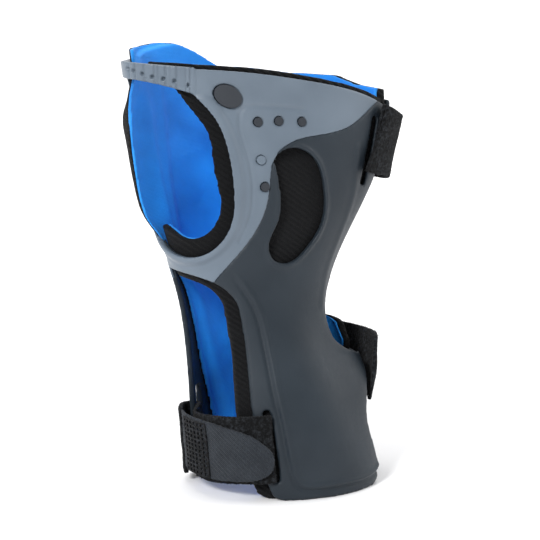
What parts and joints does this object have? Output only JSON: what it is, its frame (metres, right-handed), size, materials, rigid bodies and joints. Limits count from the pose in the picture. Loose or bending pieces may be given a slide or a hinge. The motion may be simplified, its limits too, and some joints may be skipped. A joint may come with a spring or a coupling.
{
  "type": "wrist splint",
  "caption": "Rigid clamshell wrist splint with a soft thumb ring, a lined hollow for the forearm and hand, and hook-and-loop straps.",
  "frame": {"origin": "middle of the whole's base, on the surface the forearm end stands on", "axes": "+Z towards the fingers, -X the thumb side, +X the little-finger side, -Y the palm side, +Y the back of the hand (left hand)"},
  "size_m": [0.1308, 0.0912, 0.1952],
  "materials": {
    "shell_plastic": "fine matte moulding",
    "soft_overmould": "satin",
    "black_liner": "brushed loop pile",
    "blue_facing": "smooth knit",
    "loop_webbing": "brushed loop pile",
    "hook_tape": "ribbed hook tape",
    "mesh_panel": "perforated"
  },
  "bodies": {
    "palm": {"palm_shell": "shell_plastic", "palm_overmould": "soft_overmould", "small_pegs": "shell_plastic", "grey_peg": "soft_overmould", "web_peg": "shell_plastic", "palm_web_bar": "soft_overmould", "palm_liner_foam": "black_liner", "palm_liner_facing": "blue_facing", "hand_strap_anchor": "loop_webbing", "radial_strap_base": "loop_webbing"},
    "back": {"back_shell": "shell_plastic", "back_overmould": "soft_overmould", "back_web_bar": "soft_overmould", "back_liner_foam": "black_liner", "back_liner_facing": "blue_facing"},
    "hand_strap": {"hand_strap": "loop_webbing", "hand_strap_hook": "hook_tape"},
    "wrist_strap": {"wrist_strap": "loop_webbing", "wrist_strap_hook": "hook_tape"},
    "radial_tab": {"radial_strap_tab": "hook_tape", "radial_strap_mesh": "mesh_panel"}
  },
  "joints": [
    {"name": "spine_open", "type": "hinge", "parent": "palm", "child": "back", "pos_m": [-0.04055, 0.00406, 0.024], "axis": [-0.169, 0.0445, 0.9846], "range_deg": [0, 24]},
    {"name": "hand_strap_peel", "type": "hinge", "parent": "palm", "child": "hand_strap", "pos_m": [0.04603, -0.0157, 0.15333], "axis": [-0.267, -0.0957, -0.9589], "range_deg": [0, 144]},
    {"name": "wrist_strap_peel", "type": "hinge", "parent": "palm", "child": "wrist_strap", "pos_m": [0.04177, -0.02166, 0.0505], "axis": [0, 0, -1], "range_deg": [0, 144]},
    {"name": "thumb_strap_peel", "type": "hinge", "parent": "palm", "child": "radial_tab", "pos_m": [-0.04251, -0.00311, 0.01901], "axis": [0.0588, -0.0676, -0.996], "range_deg": [0, 100]}
  ],
  "couplings": [
    {"joint": "hand_strap_peel", "follows": "spine_open", "ratio": 6},
    {"joint": "wrist_strap_peel", "follows": "spine_open", "ratio": 6}
  ]
}
